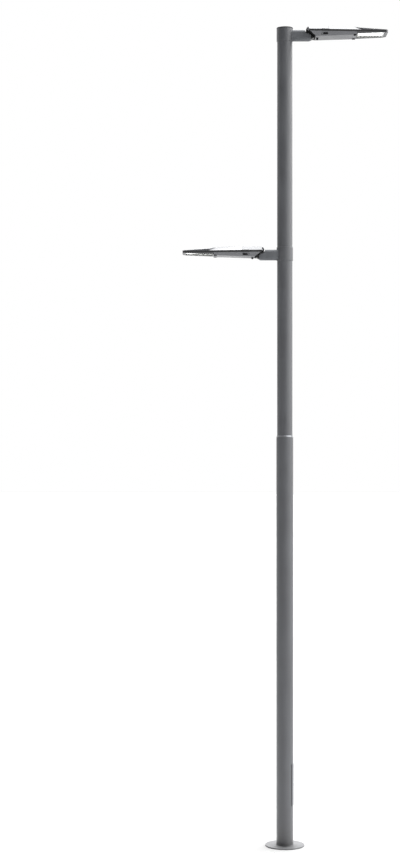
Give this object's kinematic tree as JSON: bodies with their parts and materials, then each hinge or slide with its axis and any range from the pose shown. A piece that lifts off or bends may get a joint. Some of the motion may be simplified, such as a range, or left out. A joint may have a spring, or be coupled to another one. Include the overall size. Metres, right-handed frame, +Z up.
{
  "type": "street light pole",
  "caption": "Stepped steel light pole on a round flange, with an LED lamp head on its top sleeve and another on a collar lower down, facing opposite ways.",
  "frame": {"origin": "centre of the base flange's underside, on the pole's axis", "axes": "+Z up the pole; +X the way the top head points; the lower head points along -X"},
  "size_m": [2, 0.38, 8.0079],
  "materials": {
    "grey_paint": "satin powder coat",
    "flange_paint": "matt light grey coat",
    "stainless": "polished",
    "black_paint": "satin black",
    "window_glass": "clear toughened glass",
    "lamp_board": "white board with lit lenses",
    "driver_case": "plain moulded case"
  },
  "bodies": {
    "pole": {"base_flange": "flange_paint", "foot_tube": "grey_paint", "lower_tube": "grey_paint", "socket_tube": "grey_paint", "joint_bush": "grey_paint", "joint_ring": "stainless", "step_tube": "grey_paint", "upper_tube": "grey_paint", "top_tube": "grey_paint", "top_sleeve": "grey_paint", "top_cap": "grey_paint", "mid_collar": "grey_paint", "door_hinges": "stainless", "top_arm": "grey_paint", "top_knuckle": "black_paint", "top_hinge_pin": "stainless", "mid_arm": "grey_paint", "mid_knuckle": "black_paint", "mid_hinge_pin": "stainless"},
    "door": {"access_door": "grey_paint", "door_lock": "stainless"},
    "top_head": {"top_housing": "grey_paint", "top_lamp_frame": "grey_paint", "top_glass": "window_glass", "top_lamp_board": "lamp_board", "top_front_cover": "grey_paint", "top_driver": "driver_case"},
    "top_lid": {"top_gear_lid": "grey_paint", "top_left_latch": "grey_paint", "top_right_latch": "grey_paint"},
    "mid_head": {"mid_housing": "grey_paint", "mid_lamp_frame": "grey_paint", "mid_glass": "window_glass", "mid_lamp_board": "lamp_board", "mid_front_cover": "grey_paint", "mid_driver": "driver_case"},
    "mid_lid": {"mid_gear_lid": "grey_paint", "mid_left_latch": "grey_paint", "mid_right_latch": "grey_paint"}
  },
  "joints": [
    {"name": "door_hinge", "type": "hinge", "parent": "pole", "child": "door", "pos_m": [0.0629, 0.05996, 0.6], "axis": [0, 0, 1], "range_deg": [0, 110]},
    {"name": "top_head_tilt", "type": "hinge", "parent": "pole", "child": "top_head", "pos_m": [0.23, 0, 7.97], "axis": [0, -1, 0], "range_deg": [0, 15]},
    {"name": "top_lid_hinge", "type": "hinge", "parent": "top_head", "child": "top_lid", "pos_m": [0.23, 0, 7.97], "axis": [0, -1, 0], "range_deg": [0, 75]},
    {"name": "mid_head_tilt", "type": "hinge", "parent": "pole", "child": "mid_head", "pos_m": [-0.23, 0, 5.824], "axis": [0, 1, 0], "range_deg": [0, 15]},
    {"name": "mid_lid_hinge", "type": "hinge", "parent": "mid_head", "child": "mid_lid", "pos_m": [-0.23, 0, 5.824], "axis": [0, 1, 0], "range_deg": [0, 75]}
  ]
}
